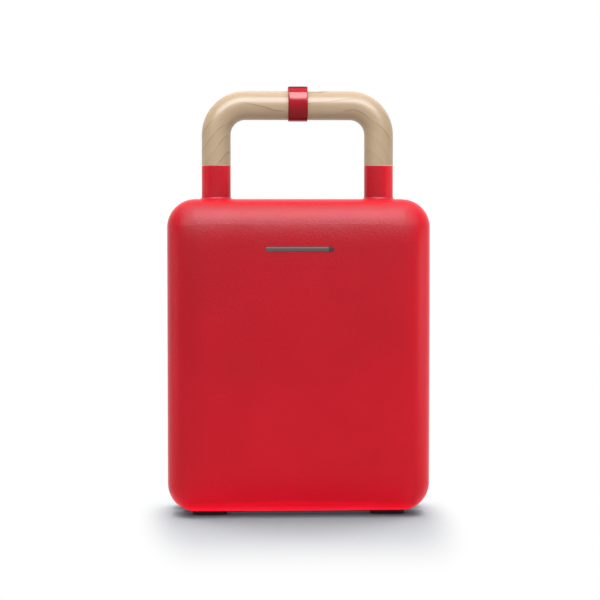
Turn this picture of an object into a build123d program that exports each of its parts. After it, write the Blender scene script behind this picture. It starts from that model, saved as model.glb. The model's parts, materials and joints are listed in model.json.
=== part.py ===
from build123d import *
import math
import os

os.makedirs("parts", exist_ok=True)

# Body. The lid faces -Y, the base +Y, and the halves meet at y = 0.
body_width = 230.0
body_height = 273.5
body_floor = 3.0
half_depth = 50.0
base_depth = 46.0
corner_radius = 25.0
edge_round = 22.0
crown_radius = 5000.0
draft = 1.0
wall = 2.5
half_seam = 0.5
fit_gap = 0.3
slide_gap = 0.25
running_gap = 0.05
body_side = body_width / 2
body_middle = body_floor + body_height / 2
body_top = body_floor + body_height

# Handle
leg_spacing = 143.6
grip_diameter = 25.5
bend_radius = 25.8
bar_height = body_top + 82.3
sleeve_top = body_top + 29.8
sleeve_wall = 2.4
sleeve_rim = 0.5
sleeve_flare = 2.0
tenon_length = 20.0
grip_screw_radius = 1.9
grip_screw_depth = 7.3

# Clip round the bar
clip_width = 17.0
clip_crest = 16.4
clip_front = 14.8
clip_sole = 14.2
clip_facet = 5.4
collar_groove = 0.65
clip_axis_y = -5.0
clip_axis_rise = 14.4
clip_knuckle = 2.0
clip_pin_radius = 0.9
clip_knuckle_width = 8.0
saddle_floor = 9.0

# Hinge
hinge_height = 12.0
pin_radius = 2.0
knuckle_radius = 6.5
knuckle_start = 48.0
knuckle_end = 82.0
lid_knuckle_start = 59.8
lid_knuckle_end = 70.2
relief_angle = 56.0
relief_apex = 1.0

# Bezel frames
frame_face = 2.0
frame_back = 14.0
frame_skin = 2.4
frame_screw_x = body_side - 9.7
frame_screw_rows = (body_floor + 57.0, body_middle + 10.25, body_top - 36.5)
frame_screw_radius = 1.5
boss_radius = 4.0

# Waffle plates
plate_width = body_width - 34.0
plate_height = body_height - 57.5
plate_middle = body_middle + 0.25
plate_rim = 0.3
plate_lip = 3.0
plate_wall = 3.0
plate_floor = 13.5
plate_back = 16.5
plate_corner = 12.0
ridge_width = 6.0
peg_columns = 4
peg_pitch = (plate_width - ridge_width - 18.0) / (2 * peg_columns)
peg_base = 0.6 * peg_pitch
peg_tip = 4.6
peg_slope = 12.0
peg_rows = int((plate_height - 20.0) / peg_pitch)
catch_width = 20.0
catch_front = 4.4
catch_thickness = 2.2

# Plate release
release_width = 32.0
release_bottom = body_top - 25.7
release_top = body_top - 14.5
release_travel = 4.0
spring_end = body_top - 6.9
spring_strip = 0.5
spring_folds = 5

# Heating
reflector_sheet = 0.8
reflector_floor = 26.8
element_radius = 3.2
element_depth = 20.1
element_width = plate_width - 64.0
element_height = plate_height - 66.0
element_bend = 14.0
element_low = body_floor + 52.0
element_dip = element_low + 40.0
clamp_width = 9.0

# Terminal block on the base shell
block_width = 44.0
block_back = base_depth - 10.0
block_z = body_floor + 77.0

# Indicator
slot_length = 59.4
slot_height = 4.8
slot_z = body_top - 43.6
pad_depth = half_depth - 5.5
lens_flange = 1.2
holder_depth = pad_depth - lens_flange - reflector_floor - 7.0

# Leads, with the depth of the contacts that they reach
lead_radius = 1.3
lamp_lead_radius = 0.9
lead_bend = 4.0
lamp_x = 18.0
fuse_x = 40.0
control_z = plate_middle + 30.0
tab_x = 5.0

# Cord entry, feet and pads
cord_x = 45.0
cord_depth = base_depth - 9.7
cord_ceiling = 48.5
cord_bay = 25.0
cord_bay_floor = base_depth - 14.8
gland_radius = 4.0
foot_radius = 8.0
foot_x = body_side - 31.0
foot_rows = (body_floor + 37.0, body_top - 40.5)
foot_seat = base_depth - 2.5
pad_x = body_side - 37.0
pad_length = 30.0
pad_width = 9.0
pad_y = 22.5
pad_seat = 1.2

leg_x = leg_spacing / 2
grip_radius = grip_diameter / 2
reflector_face = frame_back
boss_face = frame_back + reflector_sheet
bay_top = cord_ceiling + wall
element_top = plate_middle + element_height / 2
fuse_depth = reflector_floor + reflector_sheet + 4


def at_depth(depth):
    """A drawing plane that faces forward, depth behind the seam of the lid."""
    return Plane.XZ.offset(depth)


def half_form(inset, depth, rounding):
    with BuildPart() as form:
        with BuildSketch(at_depth(half_seam)):
            with Locations((0, body_middle)):
                RectangleRounded(
                    body_width - 2 * inset, body_height - 2 * inset, corner_radius - inset
                )
        extrude(amount=depth - inset - half_seam, taper=draft)
        if rounding > 0:
            with Locations((0, crown_radius - depth + inset, body_middle)):
                Sphere(crown_radius, mode=Mode.INTERSECT)
            fillet(form.faces().sort_by(Axis.Y)[0].edges(), rounding)
    return form.part


def half_round(radius, x_positions, z_low, z_high, flat):
    """Half-round posts on the lid side, flat toward the seam."""
    with BuildPart() as posts:
        with BuildSketch(Plane.XY.offset(z_low)):
            with Locations(*[(x, 0) for x in x_positions]):
                Circle(radius)
            with Locations((0, radius - flat)):
                Rectangle(body_width, 2 * radius, mode=Mode.SUBTRACT)
        extrude(amount=z_high - z_low)
    return posts.part


def hinge_relief(with_barrel):
    """The room below the hinge line that lets the halves swing apart."""
    reach = body_floor + hinge_height
    spread = (reach + relief_apex) * math.tan(math.radians(relief_angle))
    with BuildPart() as relief:
        with BuildSketch(Plane.YZ.offset(-body_width / 2 - 1)):
            with BuildLine():
                Polyline(
                    (0, hinge_height + relief_apex),
                    (-spread, hinge_height - reach),
                    (spread, hinge_height - reach),
                    close=True,
                )
            make_face()
            if with_barrel:
                with Locations((0, hinge_height)):
                    Circle(knuckle_radius + 0.8)
        extrude(amount=body_width + 2)
    return relief.part


def boss_columns(housing):
    with BuildPart() as columns:
        with BuildSketch(at_depth(boss_face)):
            with Locations(*screw_places()):
                Circle(boss_radius)
        extrude(amount=half_depth)
        add(housing, mode=Mode.INTERSECT)
    return columns.part


def cord_bay_block(housing):
    """Inner walls of the recess that the supply cord leaves through."""
    with BuildPart() as block:
        with BuildSketch(Plane.XY):
            with Locations((cord_x, -(cord_bay_floor - wall + base_depth) / 2)):
                Rectangle(cord_bay + 2 * wall, base_depth - cord_bay_floor + wall)
        extrude(amount=bay_top)
        add(housing, mode=Mode.INTERSECT)
    return block.part


def screw_places():
    return [(side * frame_screw_x, z) for side in (-1, 1) for z in frame_screw_rows]


def both_sides(distance, z):
    return [(-distance, z), (distance, z)]


def half_shell(depth):
    """Housing common to the lid and the base, drawn on the lid side."""
    outer = half_form(0, depth, edge_round)
    inner = half_form(wall, depth, edge_round - wall)
    legs = (-leg_x, leg_x)
    sleeves = half_round(grip_radius, legs, body_top - 8, sleeve_top, half_seam)
    pocket_flat = half_seam + sleeve_wall
    pocket_floor = sleeve_top - tenon_length - 0.5
    pockets = half_round(grip_radius - sleeve_wall, legs, pocket_floor, sleeve_top, pocket_flat)
    columns = boss_columns(half_form(wall / 2, depth, edge_round - wall / 2))
    notch = hinge_relief(False)
    with BuildPart() as shell:
        add(outer)
        add(sleeves)
        roots = shell.edges().filter_by_position(Axis.Z, body_top - 1.5, body_top + 0.5)
        roots = roots.filter_by(GeomType.LINE, reverse=True)
        fillet(roots.filter_by_position(Axis.Y, -grip_radius - 1, 0), sleeve_flare)
        rims = shell.edges().filter_by_position(Axis.Z, sleeve_top - 0.1, sleeve_top + 0.1)
        fillet(rims.filter_by(GeomType.CIRCLE), sleeve_rim)
        add(inner, mode=Mode.SUBTRACT)
        with BuildSketch(Plane.XY.offset(body_top - wall - 3)):
            with Locations(*[(x, -frame_face - frame_skin - 3.7) for x in legs]):
                Rectangle(10, 7)
        extrude(amount=5)
        add(pockets, mode=Mode.SUBTRACT)
        with BuildSketch(Plane.XY.offset(body_top - wall - 4)):
            with Locations(*[(x, -grip_screw_depth) for x in legs]):
                Circle(grip_screw_radius + 0.2)
        extrude(amount=pocket_floor - body_top + wall + 5, mode=Mode.SUBTRACT)
        add(columns)
        with BuildSketch(at_depth(boss_face)):
            with Locations(*screw_places()):
                Circle(frame_screw_radius + running_gap)
        extrude(amount=14, mode=Mode.SUBTRACT)
        with BuildSketch(Plane.XY):
            with Locations((-pad_x, -pad_y), (pad_x, -pad_y)):
                SlotOverall(pad_length + 2 * slide_gap, pad_width + 2 * slide_gap)
        extrude(amount=body_floor + pad_seat, mode=Mode.SUBTRACT)
        add(notch, mode=Mode.SUBTRACT)
    return shell.part


def make_lid_shell():
    body = half_shell(half_depth)
    with BuildPart() as lid_shell:
        add(body)
        with BuildSketch(at_depth(pad_depth)):
            with Locations((0, slot_z)):
                Rectangle(slot_length + 12, 15)
        extrude(amount=2.8)
        with BuildSketch(at_depth(pad_depth - 1)):
            with Locations((0, slot_z)):
                SlotOverall(slot_length, slot_height)
        extrude(amount=8, mode=Mode.SUBTRACT)
        with BuildSketch(at_depth(pad_depth)):
            with Locations(*both_sides(slot_length / 2 + 3.4, slot_z)):
                Circle(1.1)
        extrude(amount=2, mode=Mode.SUBTRACT)
    lid_shell.part.label = "lid_shell"
    export_step(lid_shell.part, "parts/lid_shell.step")
    return lid_shell.part


def make_base_shell():
    body = half_shell(base_depth)
    block = cord_bay_block(half_form(wall / 2, base_depth, edge_round - wall / 2))
    with BuildPart() as base_shell:
        mirror(body, about=Plane.XZ)
        mirror(block, about=Plane.XZ)
        with BuildSketch(Plane.XY):
            with Locations((cord_x, cord_bay_floor + base_depth / 2)):
                Rectangle(cord_bay, base_depth)
        extrude(amount=cord_ceiling, mode=Mode.SUBTRACT)
        with BuildSketch(Plane.XY.offset(cord_ceiling)):
            with Locations((cord_x, cord_depth)):
                Circle(gland_radius + running_gap)
        extrude(amount=wall, mode=Mode.SUBTRACT)
        with BuildSketch(at_depth(-foot_seat)):
            with Locations(*[(side * foot_x, z) for side in (-1, 1) for z in foot_rows]):
                Circle(foot_radius + slide_gap)
        extrude(amount=-8, mode=Mode.SUBTRACT)
        with BuildSketch(at_depth(-block_back)):
            with Locations((0, block_z)):
                Rectangle(block_width + 4, 22)
        extrude(amount=-(base_depth - wall / 2 - block_back))
        with BuildSketch(at_depth(-block_back)):
            with Locations(*both_sides(block_width / 2 - 4, block_z)):
                Circle(1.35)
        extrude(amount=-3, mode=Mode.SUBTRACT)
    base_shell.part.label = "base_shell"
    export_step(base_shell.part, "parts/base_shell.step")
    return base_shell.part


def half_frame():
    """Bezel that fills a shell round its plate, drawn on the lid side."""
    inset = wall + fit_gap
    block = half_form(inset, frame_back + inset, 0)
    valley = hinge_relief(True)
    opening_width = plate_width - 2 * plate_lip + 2
    opening_height = plate_height - 2 * plate_lip + 2
    with BuildPart() as frame:
        add(block)
        with BuildSketch(at_depth(half_seam)):
            with Locations((0, body_middle)):
                Rectangle(body_width, body_height)
        extrude(amount=frame_face - half_seam, mode=Mode.SUBTRACT)
        with BuildSketch(at_depth(frame_face + frame_skin)):
            with Locations((0, body_middle)):
                RectangleRounded(
                    body_width - 2 * inset - 5.4,
                    body_height - 2 * inset - 5.4,
                    corner_radius - inset - 2.7,
                )
            with Locations((0, plate_middle)):
                RectangleRounded(
                    opening_width + 4.4, opening_height + 4.4, plate_corner, mode=Mode.SUBTRACT
                )
            with Locations(*screw_places()):
                Circle(boss_radius + 0.6, mode=Mode.SUBTRACT)
            with Locations(*both_sides((knuckle_start + knuckle_end) / 2, hinge_height)):
                Rectangle(knuckle_end - knuckle_start + 3, 36, mode=Mode.SUBTRACT)
        extrude(amount=frame_back, mode=Mode.SUBTRACT)
        with BuildSketch(at_depth(frame_face)):
            with Locations((0, plate_middle)):
                RectangleRounded(opening_width, opening_height, plate_corner - 2)
            with Locations(*screw_places()):
                Circle(frame_screw_radius + 0.2)
            with Locations((0, (release_bottom + release_top + release_travel) / 2 + 0.2)):
                Rectangle(
                    release_width + 2 * slide_gap,
                    release_top + release_travel - release_bottom + 0.6,
                )
        extrude(amount=frame_back, mode=Mode.SUBTRACT)
        with BuildSketch(at_depth(frame_face)):
            with Locations(*screw_places()):
                Circle(3.3)
        extrude(amount=2.4, mode=Mode.SUBTRACT)
        with BuildSketch(at_depth(frame_face)):
            with Locations((0, release_bottom - 2)):
                Rectangle(catch_width - 3.5, 8)
        extrude(amount=frame_skin, mode=Mode.SUBTRACT)
        with BuildSketch(at_depth(frame_face + frame_skin)):
            with Locations((0, plate_middle)):
                Rectangle(catch_width + 1, plate_height + 14)
            with Locations((0, plate_middle)):
                Rectangle(plate_width, plate_height - 20, mode=Mode.SUBTRACT)
            with Locations((-leg_x, body_top - wall - 4), (leg_x, body_top - wall - 4)):
                Rectangle(11, 12)
        extrude(amount=frame_back, mode=Mode.SUBTRACT)
        add(valley, mode=Mode.SUBTRACT)
        with BuildSketch(at_depth(frame_face + frame_skin)):
            with Locations((0, spring_end + 1.2)):
                Rectangle(14, 2.4)
        extrude(amount=5)
    return frame.part


def knuckles(spans):
    """Hinge ears on the lid side: barrels with arms that run back into the frame."""
    with BuildPart() as ears:
        for start, end in spans:
            with BuildSketch(Plane.YZ.offset(start)):
                with Locations((0, hinge_height)):
                    Circle(knuckle_radius)
                with BuildLine():
                    Polyline(
                        (0, hinge_height - 2),
                        (-frame_back + 1, hinge_height - 3),
                        (-frame_back + 1, hinge_height + 10),
                        (0, hinge_height + knuckle_radius - 1),
                        close=True,
                    )
                make_face()
                with Locations((0, hinge_height)):
                    Circle(pin_radius + running_gap, mode=Mode.SUBTRACT)
            extrude(amount=end - start)
    return ears.part


def make_lid_frame():
    ring = half_frame()
    lid_spans = ((-lid_knuckle_end, -lid_knuckle_start), (lid_knuckle_start, lid_knuckle_end))
    ears = knuckles(lid_spans)
    with BuildPart() as lid_frame:
        add(ring)
        add(ears)
    lid_frame.part.label = "lid_frame"
    export_step(lid_frame.part, "parts/lid_frame.step")


def make_base_frame():
    ring = half_frame()
    spans = []
    for side in (-1, 1):
        for start, end in (
            (knuckle_start, lid_knuckle_start - 0.3),
            (lid_knuckle_end + 0.3, knuckle_end),
        ):
            spans.append(tuple(sorted((side * start, side * end))))
    ears = knuckles(spans)
    with BuildPart() as base_frame:
        mirror(ring, about=Plane.XZ)
        mirror(ears, about=Plane.XZ)
    base_frame.part.label = "base_frame"
    export_step(base_frame.part, "parts/base_frame.step")


def peg_field_centres():
    field_width = peg_pitch * peg_columns
    return [(side * (ridge_width / 2 + 0.8 + field_width / 2), plate_middle) for side in (-1, 1)]


def make_waffle_plates():
    pan_width = plate_width - 2 * plate_lip
    pan_height = plate_height - 2 * plate_lip
    with BuildPart() as lid_waffle_plate:
        with BuildSketch(at_depth(plate_rim)):
            with Locations((0, plate_middle)):
                RectangleRounded(plate_width, plate_height, plate_corner)
        extrude(amount=frame_face - plate_rim)
        with BuildSketch(at_depth(frame_face)):
            with Locations((0, plate_middle)):
                RectangleRounded(pan_width, pan_height, plate_corner - plate_lip)
        extrude(amount=plate_back - frame_face, taper=2)
        fillet(lid_waffle_plate.faces().sort_by(Axis.Y)[0].edges(), 3)
        with BuildSketch(at_depth(plate_rim)):
            with Locations((0, plate_middle)):
                RectangleRounded(
                    pan_width - 2 * plate_wall, pan_height - 2 * plate_wall, plate_corner - 5
                )
        extrude(amount=plate_floor - plate_rim, taper=5, mode=Mode.SUBTRACT)
        with BuildSketch(at_depth(plate_floor)):
            with Locations(*peg_field_centres()):
                with GridLocations(peg_pitch, peg_pitch, peg_columns, peg_rows):
                    Rectangle(peg_base, peg_base)
        extrude(amount=peg_tip - plate_floor, taper=peg_slope)
        with BuildSketch(at_depth(plate_floor)):
            with Locations((0, plate_middle)):
                Rectangle(ridge_width, pan_height - plate_wall)
        extrude(amount=peg_tip - plate_floor, taper=8)
        with BuildSketch(at_depth(catch_front)):
            with Locations((0, plate_middle + plate_height / 2 - 1)):
                Rectangle(catch_width, 7)
            with Locations((0, plate_middle - plate_height / 2 + 1)):
                Rectangle(catch_width, 7)
        extrude(amount=catch_thickness)
    lid_waffle_plate.part.label = "lid_waffle_plate"
    export_step(lid_waffle_plate.part, "parts/lid_waffle_plate.step")
    with BuildPart() as base_waffle_plate:
        mirror(lid_waffle_plate.part, about=Plane.XZ)
    base_waffle_plate.part.label = "base_waffle_plate"
    export_step(base_waffle_plate.part, "parts/base_waffle_plate.step")


def make_plate_releases():
    middle = (release_bottom + release_top) / 2
    height = release_top - release_bottom
    with BuildPart() as lid_plate_release:
        with BuildSketch(at_depth(frame_face - 0.8)):
            with Locations((0, middle)):
                Rectangle(release_width, height)
        extrude(amount=frame_skin + 0.8 + 0.1)
        with BuildSketch(at_depth(frame_face + frame_skin + 0.1)):
            with Locations((0, middle - 0.2)):
                Rectangle(release_width + 6, height - 1.4)
        extrude(amount=2)
        for row in range(4):
            with BuildSketch(at_depth(frame_face - 0.8)):
                with Locations((0, release_bottom + 2.5 + 2.4 * row)):
                    Rectangle(release_width - 5, 1.0)
            extrude(amount=0.5, mode=Mode.SUBTRACT)
        with BuildSketch(at_depth(frame_face + 0.4)):
            with Locations((0, release_bottom - 0.9)):
                Rectangle(catch_width - 4, 3)
        extrude(amount=catch_front - frame_face - 0.4 - 0.2)
    lid_plate_release.part.label = "lid_plate_release"
    export_step(lid_plate_release.part, "parts/lid_plate_release.step")
    with BuildPart() as base_plate_release:
        mirror(lid_plate_release.part, about=Plane.XZ)
    base_plate_release.part.label = "base_plate_release"
    export_step(base_plate_release.part, "parts/base_plate_release.step")


def make_release_springs():
    """Folded strip between the slider and the stop on the frame."""
    foot = release_top - 0.9
    rise = (spring_end - foot - spring_strip) / spring_folds
    side = 5.0
    points = []
    for fold in range(spring_folds + 1):
        reach = side if fold % 2 else -side
        points.append((reach, foot + spring_strip / 2 + rise * fold))
    with BuildPart() as lid_release_spring:
        with BuildSketch(at_depth(frame_face + frame_skin + 0.4)):
            with BuildLine() as zigzag:
                Polyline(*points)
            trace(line_width=spring_strip)
        extrude(amount=4)
    lid_release_spring.part.label = "lid_release_spring"
    export_step(lid_release_spring.part, "parts/lid_release_spring.step")
    with BuildPart() as base_release_spring:
        mirror(lid_release_spring.part, about=Plane.XZ)
    base_release_spring.part.label = "base_release_spring"
    export_step(base_release_spring.part, "parts/base_release_spring.step")


def make_reflectors():
    inner_width = plate_width - 2 * plate_lip + 6
    inner_height = plate_height - 2 * plate_lip + 6
    pan_radius = plate_corner
    with BuildPart() as lid_reflector:
        with BuildSketch(at_depth(reflector_face)):
            with Locations((0, plate_middle)):
                RectangleRounded(
                    inner_width + 2 * reflector_sheet, inner_height + 2 * reflector_sheet, pan_radius
                )
            for x, z in screw_places():
                with Locations((x - math.copysign(3.5, x), z)):
                    Rectangle(boss_radius * 2 + 6, boss_radius * 2)
        extrude(amount=reflector_sheet)
        with BuildSketch(at_depth(reflector_face)):
            with Locations((0, plate_middle)):
                RectangleRounded(
                    inner_width + 2 * reflector_sheet, inner_height + 2 * reflector_sheet, pan_radius
                )
        extrude(amount=reflector_floor + reflector_sheet - reflector_face, taper=3)
        fillet(lid_reflector.faces().sort_by(Axis.Y)[0].edges(), 1.4)
        with BuildSketch(at_depth(reflector_face)):
            with Locations((0, plate_middle)):
                RectangleRounded(inner_width, inner_height, pan_radius - reflector_sheet)
        extrude(amount=reflector_floor - reflector_face, taper=3, mode=Mode.SUBTRACT)
        with BuildSketch(at_depth(reflector_face)):
            with Locations(*screw_places()):
                Circle(frame_screw_radius + 0.3)
            with Locations(*[(x, element_low) for x in element_legs()]):
                Circle(4)
            with Locations((0, element_top)):
                Circle(5)
        extrude(amount=half_depth - reflector_face, mode=Mode.SUBTRACT)
    lid_reflector.part.label = "lid_reflector"
    export_step(lid_reflector.part, "parts/lid_reflector.step")
    with BuildPart() as base_reflector:
        mirror(lid_reflector.part, about=Plane.XZ)
    base_reflector.part.label = "base_reflector"
    export_step(base_reflector.part, "parts/base_reflector.step")


def element_legs():
    return (-element_width / 2, element_width / 2)


def element_path():
    """Loop of the heater: up, over with a dip, and down, then back through the pan."""
    left, right = element_legs()
    points = [
        (left, element_low),
        (left, element_top),
        (left / 3, element_top),
        (left / 3, element_dip),
        (right / 3, element_dip),
        (right / 3, element_top),
        (right, element_top),
        (right, element_low),
    ]
    return points


def make_heating_elements():
    left, right = element_legs()
    with BuildPart() as lid_heating_element:
        with BuildLine(at_depth(element_depth)) as path:
            FilletPolyline(*element_path(), radius=element_bend)
        with BuildSketch(Plane.XY.offset(element_low)):
            with Locations((left, -element_depth)):
                Circle(element_radius)
        sweep(path=path.wires()[0])
        with BuildSketch(at_depth(element_depth - element_radius)):
            with Locations((left, element_low), (right, element_low)):
                Circle(element_radius)
        extrude(amount=element_radius + 5)
        with BuildSketch(at_depth(element_depth)):
            with Locations((left, element_low), (right, element_low)):
                Circle(1.2)
        extrude(amount=14)
    lid_heating_element.part.label = "lid_heating_element"
    export_step(lid_heating_element.part, "parts/lid_heating_element.step")
    with BuildPart() as base_heating_element:
        mirror(lid_heating_element.part, about=Plane.XZ)
    base_heating_element.part.label = "base_heating_element"
    export_step(base_heating_element.part, "parts/base_heating_element.step")


def make_element_clamps():
    """Saddles on the pan that the heater lies in."""
    left, right = element_legs()
    places = [(x, plate_middle + 20) for x in (left, left / 3, right / 3, right)]
    places += [(left, element_low + 22), (right, element_low + 22)]
    with BuildPart() as lid_element_clamps:
        with BuildSketch(at_depth(element_depth)):
            with Locations(*places):
                Rectangle(2 * element_radius + 5, clamp_width)
        extrude(amount=reflector_floor - element_depth)
        for x, z in places:
            with BuildSketch(Plane.XY.offset(z - clamp_width)):
                with Locations((x, -element_depth)):
                    Circle(element_radius + 0.3)
            extrude(amount=2 * clamp_width, mode=Mode.SUBTRACT)
    lid_element_clamps.part.label = "lid_element_clamps"
    export_step(lid_element_clamps.part, "parts/lid_element_clamps.step")
    with BuildPart() as base_element_clamps:
        mirror(lid_element_clamps.part, about=Plane.XZ)
    base_element_clamps.part.label = "base_element_clamps"
    export_step(base_element_clamps.part, "parts/base_element_clamps.step")


def d_section(radius, flat):
    """Half-round sketch at the foot of the left leg."""
    with BuildSketch(Plane.XY.offset(sleeve_top)) as section:
        with Locations((-leg_x, 0)):
            Circle(radius)
        with Locations((-leg_x, radius - flat)):
            Rectangle(3 * radius, 2 * radius, mode=Mode.SUBTRACT)
    return section.sketch


def half_grip():
    """One wooden half of the handle with its two tenons, on the lid side."""
    tenon_flat = half_seam + sleeve_wall + slide_gap
    tenon_radius = grip_radius - sleeve_wall - slide_gap
    section = d_section(grip_radius, half_seam)
    tenons = half_round(
        tenon_radius, (-leg_x, leg_x), sleeve_top - tenon_length, sleeve_top, tenon_flat
    )
    with BuildPart() as grip:
        with BuildLine(Plane.XZ) as path:
            FilletPolyline(
                (-leg_x, sleeve_top),
                (-leg_x, bar_height),
                (leg_x, bar_height),
                (leg_x, sleeve_top),
                radius=bend_radius,
            )
        add(section)
        sweep(path=path.wires()[0])
        add(tenons)
        with BuildSketch(Plane.XY.offset(sleeve_top - tenon_length)):
            with Locations(*[(x, -grip_screw_depth) for x in (-leg_x, leg_x)]):
                Circle(grip_screw_radius + running_gap)
        extrude(amount=18, mode=Mode.SUBTRACT)
    return grip.part


def make_front_grip():
    body = half_grip()
    with BuildPart() as front_grip:
        add(body)
        with BuildSketch(Plane.YZ.offset(-clip_width / 2 - 0.1)):
            with Locations((0, bar_height)):
                Circle(grip_radius + 1)
                Circle(grip_radius - collar_groove, mode=Mode.SUBTRACT)
        extrude(amount=clip_width + 0.2, mode=Mode.SUBTRACT)
        with BuildSketch(Plane.XZ):
            with Locations((0, bar_height)):
                Circle(1.3 + running_gap)
        extrude(amount=grip_radius + 1, mode=Mode.SUBTRACT)
        with BuildSketch(Plane.XZ):
            with Locations((0, bar_height)):
                Circle(2.8)
        extrude(amount=3, mode=Mode.SUBTRACT)
    front_grip.part.label = "front_grip"
    export_step(front_grip.part, "parts/front_grip.step")


def make_rear_grip():
    body = half_grip()
    with BuildPart() as rear_grip:
        mirror(body, about=Plane.XZ)
        with BuildSketch(Plane.YZ.offset(-clip_width / 2 - 0.5)):
            with Locations((grip_radius / 2, bar_height + saddle_floor + 5)):
                Rectangle(grip_radius + 2, 10)
        extrude(amount=clip_width + 1, mode=Mode.SUBTRACT)
    rear_grip.part.label = "rear_grip"
    export_step(rear_grip.part, "parts/rear_grip.step")


def clip_outline(front):
    """Outer line of the band in side view, lid side or base side."""
    side = -1 if front else 1
    crest = bar_height + clip_crest
    shoulder = 7.4
    with BuildSketch(Plane.YZ.offset(-clip_width / 2)) as outline:
        with BuildLine():
            Polyline(
                (0, crest),
                (side * shoulder, crest),
                (side * (shoulder + clip_facet), crest - clip_facet),
            )
            Spline(
                (side * (shoulder + clip_facet), crest - clip_facet),
                (side * clip_front, bar_height),
                (side * 10.2, bar_height - 10.1),
                (0, bar_height - clip_sole),
                tangents=((side * 0.55, -1), (-side, 0)),
            )
            Line((0, bar_height - clip_sole), (0, crest))
        make_face()
    return outline.sketch


def make_clip_collar():
    outline = clip_outline(True)
    axis_z = bar_height + clip_axis_rise
    with BuildPart() as clip_collar:
        extrude(outline, amount=clip_width, dir=(1, 0, 0))
        with BuildSketch(Plane.YZ.offset(-clip_width / 2)):
            with Locations((0, bar_height)):
                Circle(grip_radius - collar_groove + 0.1)
            with Locations((0, bar_height)):
                Rectangle(2 * half_seam, 4 * grip_radius)
            with Locations((0, bar_height + clip_crest)):
                Rectangle(-2 * clip_axis_y, 2 * (clip_crest - grip_radius))
        extrude(amount=clip_width, mode=Mode.SUBTRACT)
        with BuildSketch(Plane.YZ.offset(-clip_width / 2)):
            with Locations((clip_axis_y, axis_z)):
                Circle(clip_knuckle)
        extrude(amount=clip_width)
        with BuildSketch(Plane.YZ.offset(-clip_knuckle_width / 2 - 0.2)):
            with Locations((clip_axis_y, axis_z)):
                Circle(clip_knuckle + 0.35)
            with Locations((clip_axis_y + 4, axis_z)):
                Rectangle(8, 2 * (clip_knuckle + 0.35))
        extrude(amount=clip_knuckle_width + 0.4, mode=Mode.SUBTRACT)
        with BuildSketch(Plane.YZ.offset(-clip_width / 2)):
            with Locations((clip_axis_y, axis_z)):
                Circle(clip_pin_radius + running_gap)
        extrude(amount=clip_width, mode=Mode.SUBTRACT)
        with BuildSketch(at_depth(grip_radius - collar_groove - 1)):
            with Locations((0, bar_height)):
                Circle(1.3 + running_gap)
        extrude(amount=2.6, mode=Mode.SUBTRACT)
    clip_collar.part.label = "clip_collar"
    export_step(clip_collar.part, "parts/clip_collar.step")


def make_latch_clip():
    axis_z = bar_height + clip_axis_rise
    crest = bar_height + clip_crest
    tip = grip_radius + 0.6
    with BuildPart() as latch_clip:
        with BuildSketch(Plane.YZ.offset(-clip_width / 2)):
            with BuildLine():
                Polyline(
                    (clip_axis_y + clip_knuckle + 0.5, crest),
                    (8.0, crest),
                    (tip + 1.2, crest - 5.2),
                    (tip + 1.2, bar_height + saddle_floor + 0.4),
                    (tip - 4.2, bar_height + saddle_floor + 0.4),
                    (tip - 6.6, bar_height + grip_radius + 0.3),
                    (clip_axis_y + clip_knuckle + 0.5, bar_height + grip_radius + 0.3),
                    close=True,
                )
            make_face()
        extrude(amount=clip_width)
        fillet(latch_clip.edges().filter_by(Axis.X).sort_by(Axis.Y)[-2:], 0.8)
        with BuildSketch(Plane.YZ.offset(-clip_knuckle_width / 2)):
            with Locations((clip_axis_y, axis_z)):
                Circle(clip_knuckle)
            with Locations((clip_axis_y + 1.6, axis_z - 0.2)):
                Rectangle(3.2, 2.0)
        extrude(amount=clip_knuckle_width)
        with BuildSketch(Plane.YZ.offset(-clip_knuckle_width / 2)):
            with Locations((clip_axis_y, axis_z)):
                Circle(clip_pin_radius + running_gap)
        extrude(amount=clip_knuckle_width, mode=Mode.SUBTRACT)
    latch_clip.part.label = "latch_clip"
    export_step(latch_clip.part, "parts/latch_clip.step")


def make_pins():
    with BuildPart() as clip_pin:
        with BuildSketch(Plane.YZ.offset(-clip_width / 2 + 0.3)):
            with Locations((clip_axis_y, bar_height + clip_axis_rise)):
                Circle(clip_pin_radius)
        extrude(amount=clip_width - 0.6)
    clip_pin.part.label = "clip_pin"
    export_step(clip_pin.part, "parts/clip_pin.step")
    with BuildPart() as hinge_pins:
        for side in (-1, 1):
            with BuildSketch(Plane.YZ.offset(side * (knuckle_start - 1.6))):
                with Locations((0, hinge_height)):
                    Circle(pin_radius)
            extrude(amount=side * (knuckle_end - knuckle_start + 3))
            with BuildSketch(Plane.YZ.offset(side * (knuckle_start - 1.6))):
                with Locations((0, hinge_height)):
                    Circle(pin_radius + 1.4)
            extrude(amount=side * 1.6)
    hinge_pins.part.label = "hinge_pins"
    export_step(hinge_pins.part, "parts/hinge_pins.step")


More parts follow.
